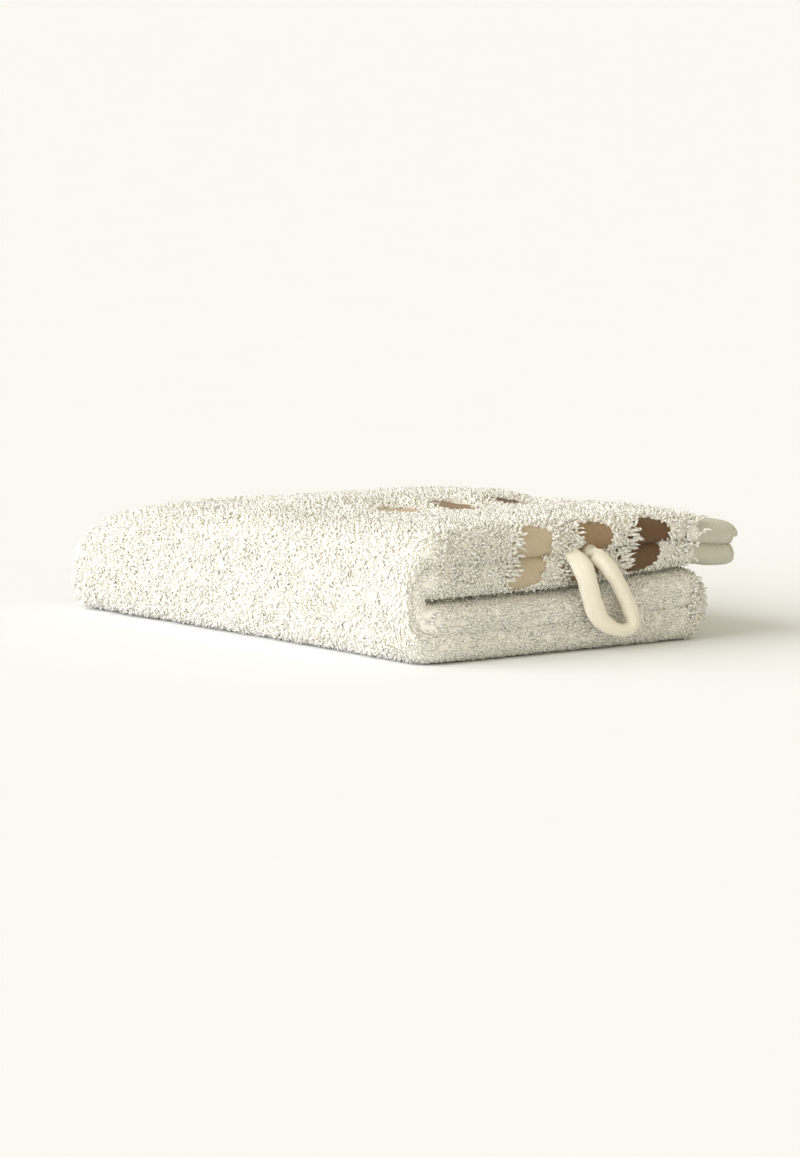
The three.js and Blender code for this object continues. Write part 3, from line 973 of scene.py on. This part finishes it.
        crease = crease_height(place[:, 0], place[:, 1])
        lip = np.clip(1 - (np.abs(place[:, 2] - crease) - 0.8) / 3.0, 0, 1) * on_side
        tall = tall * (1 - 0.45 * lip)
        tall = tall * (1 - 0.3 * np.clip(1 - place[:, 2] / 3.0, 0, 1))
        tall = np.where((run > 1.1) & (run < 1.9) & ~on_side, tall * self.FRONT_HEIGHT, tall)

        top = template[:, 2].max()
        angle = turn[:, None] + twist[:, None] * share[None, :]
        x = template[None, :, 0] * wide[:, None]
        y = np.broadcast_to(template[None, :, 1], x.shape)
        bend = top * share[None, :] ** 1.5 * tall[:, None]
        a = x * np.cos(angle) - y * np.sin(angle) + bend * lean[:, :1]
        b = x * np.sin(angle) + y * np.cos(angle) + bend * lean[:, 1:]
        c = template[None, :, 2] * (tall / np.sqrt(1 + 0.6 * np.sum(lean**2, axis=1)))[:, None]
        points = set_on(place, (roots["side"], roots["ahead"], roots["normal"]), (a, b, c))
        inner = sheet < 0
        above = (inner & (run > 2))[:, None]
        below = (inner & (run < 1))[:, None]
        middle = crease_height(points[..., 0], points[..., 1])
        height = np.where(above, np.maximum(points[..., 2], middle + 0.1), points[..., 2])
        height = np.where(below, np.minimum(height, middle - 0.1), height)
        points[..., 2] = np.maximum(height, 0.05 + 0.1 * share[None, :])
        return points

    @staticmethod
    def join(name, points, loop_faces, tone, share, material):
        """Joins the loops of one region into a single piece."""
        count, size = points.shape[:2]
        if not count:
            raise RuntimeError(f"{name} has no loops")
        by_corners = {}
        for face in loop_faces:
            by_corners.setdefault(len(face), []).append(face)
        steps = (np.arange(count) * size)[:, None, None]
        faces = []
        for corners, group in by_corners.items():
            faces += (np.array(group)[None] + steps).reshape(-1, corners).tolist()
        piece = mesh_piece(name, (points.reshape(-1, 3) * MM).tolist(), faces, material)
        mesh = piece.data
        mesh.attributes.new("tone", "FLOAT", "POINT").data.foreach_set("value", np.repeat(tone, size))
        mesh.attributes.new("height", "FLOAT", "POINT").data.foreach_set("value", np.tile(share, count))
        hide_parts("mitt")


class WASHCLOTH_OT_sew_hems(bpy.types.Operator):
    """Sews a row of stitches along each hem, next to the pile"""

    bl_idname = "washcloth.sew_hems"
    bl_label = "Sew the hems"

    ABOVE_HEM = 2.2
    SEAM_LEFT_FREE = 8
    PACE = 1.12
    THREAD_RADIUS = 0.24
    STANDS_OUT = 0.16
    DIPS = 0.42

    def execute(self, context):
        sizes = context.scene.washcloth_sizes
        data = cloth_net()
        skin, normals = skin_frames(data)
        length = sizes.stitch_length / MM
        points, faces = self.one_stitch(length)
        material = thread_material(context.scene.washcloth_colours)
        for name, outer in (("stitches_outer_hem", True), ("stitches_inner_hem", False)):
            hem_at = HEM_DEPTH - self.ABOVE_HEM
            rows = np.arange(len(data["walked"]))
            walk = hem_at if outer else data["walked"][-1] - hem_at
            row = np.interp(walk, data["walked"], rows)
            last = WIDTH / 2 - self.SEAM_LEFT_FREE
            places_u = np.arange(-last, last, length * self.PACE)
            column = np.interp(places_u, data["across"], np.arange(len(data["across"])))
            at = read_between(skin, np.full_like(column, row), column)
            normal = unit(read_between(normals, np.full_like(column, row), column))
            side = square_to(np.tile([1.0, 0.0, 0.0], (len(at), 1)), normal)
            made = set_on(at, (side, np.cross(normal, side), normal), points.T[:, None])
            count, size = made.shape[:2]
            joined = [[v + i * size for v in face] for i in range(count) for face in faces]
            piece = mesh_piece(name, (made.reshape(-1, 3) * MM).tolist(), joined, material)
            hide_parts("mitt")
        return {"FINISHED"}

    def one_stitch(self, length):
        """One stitch: a short round of thread whose ends dip into the cloth."""
        calm()
        bpy.ops.mesh.primitive_cylinder_add(
            vertices=6, radius=self.THREAD_RADIUS, depth=length, rotation=(0, math.pi / 2, 0)
        )
        stitch = bpy.context.object
        bpy.ops.object.transform_apply(location=True, rotation=True, scale=True)
        bpy.ops.object.mode_set(mode="EDIT")
        for cut in (-length * 0.25, length * 0.25, 0):
            bpy.ops.mesh.select_all(action="SELECT")
            bpy.ops.mesh.bisect(plane_co=(cut, 0, 0), plane_no=(1, 0, 0))
        bpy.ops.object.mode_set(mode="OBJECT")
        points = np.array([v.co[:] for v in stitch.data.vertices])
        faces = [list(p.vertices) for p in stitch.data.polygons]
        bpy.data.objects.remove(stitch, do_unlink=True)
        along = np.abs(points[:, 0]) / (length / 2)
        points[:, 2] += self.STANDS_OUT - self.DIPS * along**2.5
        return points, faces


def route_points(count):
    """Evenly spaced points on a smooth line through BAND_ROUTE, in millimetres."""
    route = np.array(BAND_ROUTE)
    knots = np.concatenate([[0], np.cumsum(np.linalg.norm(np.diff(route, axis=0), axis=1) ** 0.5)])
    fine = np.linspace(0, knots[-1], 600)
    dense = np.stack([curve_through(knots, route[:, k], fine) for k in range(3)], axis=1)
    walked = np.concatenate([[0], np.cumsum(np.linalg.norm(np.diff(dense, axis=0), axis=1))])
    even = np.linspace(0, walked[-1], count)
    return np.stack([np.interp(even, walked, dense[:, k]) for k in range(3)], axis=1), walked[-1]


class WASHCLOTH_OT_hang_loop(bpy.types.Operator):
    """Makes the hanging loop: a soft band from the side seam round its tip and back"""

    bl_idname = "washcloth.hang_loop"
    bl_label = "Hang the loop"

    STEPS = 96
    ROUND = 20

    def execute(self, context):
        width = context.scene.washcloth_sizes.band_width / MM
        line, length = route_points(self.STEPS + 1)
        calm()
        bpy.ops.mesh.primitive_cylinder_add(vertices=self.ROUND, radius=1, depth=length, end_fill_type="NGON")
        band = context.object
        band.name = band.data.name = "hanging_band"
        bpy.ops.object.mode_set(mode="EDIT")
        for i in range(1, self.STEPS):
            bpy.ops.mesh.select_all(action="SELECT")
            bpy.ops.mesh.bisect(plane_co=(0, 0, length * (i / self.STEPS - 0.5)), plane_no=(0, 0, 1))
        bpy.ops.object.mode_set(mode="OBJECT")
        mesh = band.data
        flat = np.empty(len(mesh.vertices) * 3)
        mesh.vertices.foreach_get("co", flat)
        flat = flat.reshape(-1, 3)
        share = flat[:, 2] / length + 0.5
        around = np.arctan2(flat[:, 1], flat[:, 0])
        points = self.wrap(line, share, around, width)
        mesh.vertices.foreach_set("co", (points * MM).ravel())
        self.mark_along(mesh, around, share * length * MM)
        bpy.ops.object.mode_set(mode="EDIT")
        face_outwards()
        mesh.shade_smooth()
        mesh.materials.append(band_material(context.scene.washcloth_colours))
        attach(band, BODY)
        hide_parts("hanging_loop")
        return {"FINISHED"}

    def wrap(self, line, share, around, width):
        """Points of the band round its line, by the share of its length and the angle round it."""
        tangent = unit(np.gradient(line, axis=0))
        out = np.zeros_like(tangent)
        out[:, 0] = 1.0
        out -= tangent * np.sum(out * tangent, axis=1, keepdims=True)
        weak = np.linalg.norm(out, axis=1) < 0.35
        out[weak] = np.cross(tangent[weak], [0.0, 1.0, 0.0])
        for _ in range(3):
            out[1:-1] = (out[:-2] + out[1:-1] * 2 + out[2:]) / 4
        out = unit(out)
        beside = np.cross(tangent, out)
        steps = share * self.STEPS
        centre, out, beside = (
            read_between(np.repeat(row[:, None], 2, axis=1), steps, np.zeros(len(steps)))
            for row in (line, out, beside)
        )
        squeeze = 1 + 0.05 * np.sin(share * 23.0) + 0.04 * np.sin(share * 61.0 + 1)
        groove = 1 - 0.16 * np.exp(-((around - 0.5) / 0.35) ** 2)
        wide = np.interp(share, *zip(*BAND_WIDTHS))
        reach_beside = width / 2 * wide * squeeze * groove
        reach_out = width / 2 * BAND_FLATNESS / squeeze * groove
        outwards = out * (np.cos(around) * reach_out)[:, None]
        return centre + outwards + beside * (np.sin(around) * reach_beside)[:, None]

    @staticmethod
    def mark_along(mesh, around, along):
        """Writes the place round and along the band as a UV map, with no jump inside a face."""
        values = []
        for face in mesh.polygons:
            turns = [around[v] / math.tau for v in face.vertices]
            if max(turns) - min(turns) > 0.5:
                turns = [t + 1 if t < 0 else t for t in turns]
            for turn, vertex in zip(turns, face.vertices):
                values += [turn, along[vertex]]
        write_uv(mesh, "along band", values)


class WASHCLOTH_OT_set_stage(bpy.types.Operator):
    """Sets a plain pale floor, soft light and the camera"""

    bl_idname = "washcloth.set_stage"
    bl_label = "Set the stage"

    AZIMUTH = 53.0
    ELEVATION = 7.0
    DISTANCE = 2.2
    TARGET = (-0.0005, 0.0018, 0.0121)
    LENS = 245.0
    FLOOR_SIZE = 24
    WORLD_COLOUR = (1.0, 0.945, 0.78, 1)
    WORLD_STRENGTH = 0.56
    # Name, energy, spread in degrees, colour, and the way to the light
    LIGHTS = (
        ("key", 4.4, 80.0, (0.965, 0.965, 1.0), (-0.30, -0.93, 0.25)),
        ("fill", 0.45, 90.0, (1.0, 0.92, 0.70), (0.95, -0.10, 0.15)),
    )

    def execute(self, context):
        calm()
        bpy.ops.mesh.primitive_plane_add(size=self.FLOOR_SIZE)
        floor = context.object
        floor.name = floor.data.name = "floor"
        material, n, shader = new_material("pale floor")
        place_of = n.add("ShaderNodeTexCoord").outputs["Object"]
        cloudy = n.add("ShaderNodeTexNoise", {"Vector": place_of, "Scale": 30.0, "Detail": 2.0})
        pale = tuple(context.scene.washcloth_colours.floor)
        dim = tuple(0.985 * c for c in pale[:3]) + (1,)
        n.tree.links.new(n.mix(cloudy.outputs["Fac"], dim, pale), shader.inputs["Base Color"])
        shader.inputs["Roughness"].default_value = 0.9
        shader.inputs["Specular IOR Level"].default_value = 0.1
        floor.data.materials.append(material)
        self.light_it(context)
        self.aim_camera(context)
        return {"FINISHED"}

    def light_it(self, context):
        """Soft daylight from the front left, and a weak warm fill from the right."""
        world = context.scene.world or bpy.data.worlds.new("studio")
        context.scene.world = world
        world.use_nodes = True
        background = world.node_tree.nodes.get("Background")
        background.inputs[0].default_value = self.WORLD_COLOUR
        background.inputs[1].default_value = self.WORLD_STRENGTH
        context.scene.view_settings.view_transform = "Standard"
        for name, energy, spread, color, towards in self.LIGHTS:
            bpy.ops.object.light_add(type="SUN", location=(-1, -1.5, 1.5))
            light = context.object
            light.name = name
            light.data.energy = energy
            light.data.angle = math.radians(spread)
            light.data.color = color
            light.rotation_euler = Vector(towards).to_track_quat("Z", "Y").to_euler()

    def aim_camera(self, context):
        """A long lens from the front right, a little above the cloth."""
        a, e = math.radians(self.AZIMUTH), math.radians(self.ELEVATION)
        back = Vector((math.sin(a) * math.cos(e), -math.cos(a) * math.cos(e), math.sin(e)))
        bpy.ops.object.camera_add(location=Vector(self.TARGET) + back * self.DISTANCE)
        camera = context.object
        camera.name = "camera"
        camera.rotation_euler = back.to_track_quat("Z", "Y").to_euler()
        camera.data.lens = self.LENS
        camera.data.sensor_width = 36
        camera.data.clip_start = 0.05
        camera.data.clip_end = 40
        context.scene.camera = camera


PIECE_OPERATORS = (
    WASHCLOTH_OT_lay_cloth,
    WASHCLOTH_OT_grow_pile,
    WASHCLOTH_OT_sew_hems,
    WASHCLOTH_OT_hang_loop,
    WASHCLOTH_OT_set_stage,
)


class WASHCLOTH_PT_panel(bpy.types.Panel):
    """Lists the washcloth's sizes, colours and operators"""

    bl_label = "Washcloth"
    bl_idname = "WASHCLOTH_PT_panel"
    bl_space_type = "VIEW_3D"
    bl_region_type = "UI"
    bl_category = "Washcloth"

    def draw(self, context):
        for group in (context.scene.washcloth_sizes, context.scene.washcloth_colours):
            for name in type(group).__annotations__:
                self.layout.prop(group, name)
        for operator in PIECE_OPERATORS:
            self.layout.operator(operator.bl_idname)


CLASSES = (ClothSizes, ClothColours, *PIECE_OPERATORS, WASHCLOTH_PT_panel)


def register():
    for cls in CLASSES:
        bpy.utils.register_class(cls)
    bpy.types.Scene.washcloth_sizes = bpy.props.PointerProperty(type=ClothSizes)
    bpy.types.Scene.washcloth_colours = bpy.props.PointerProperty(type=ClothColours)


def unregister():
    del bpy.types.Scene.washcloth_colours
    del bpy.types.Scene.washcloth_sizes
    for cls in reversed(CLASSES):
        bpy.utils.unregister_class(cls)


def main():
    register()
    bpy.ops.washcloth.lay_cloth()
    bpy.ops.washcloth.grow_pile()
    bpy.ops.washcloth.sew_hems()
    bpy.ops.washcloth.hang_loop()
    bpy.ops.washcloth.set_stage()


if __name__ == "__main__":
    main()
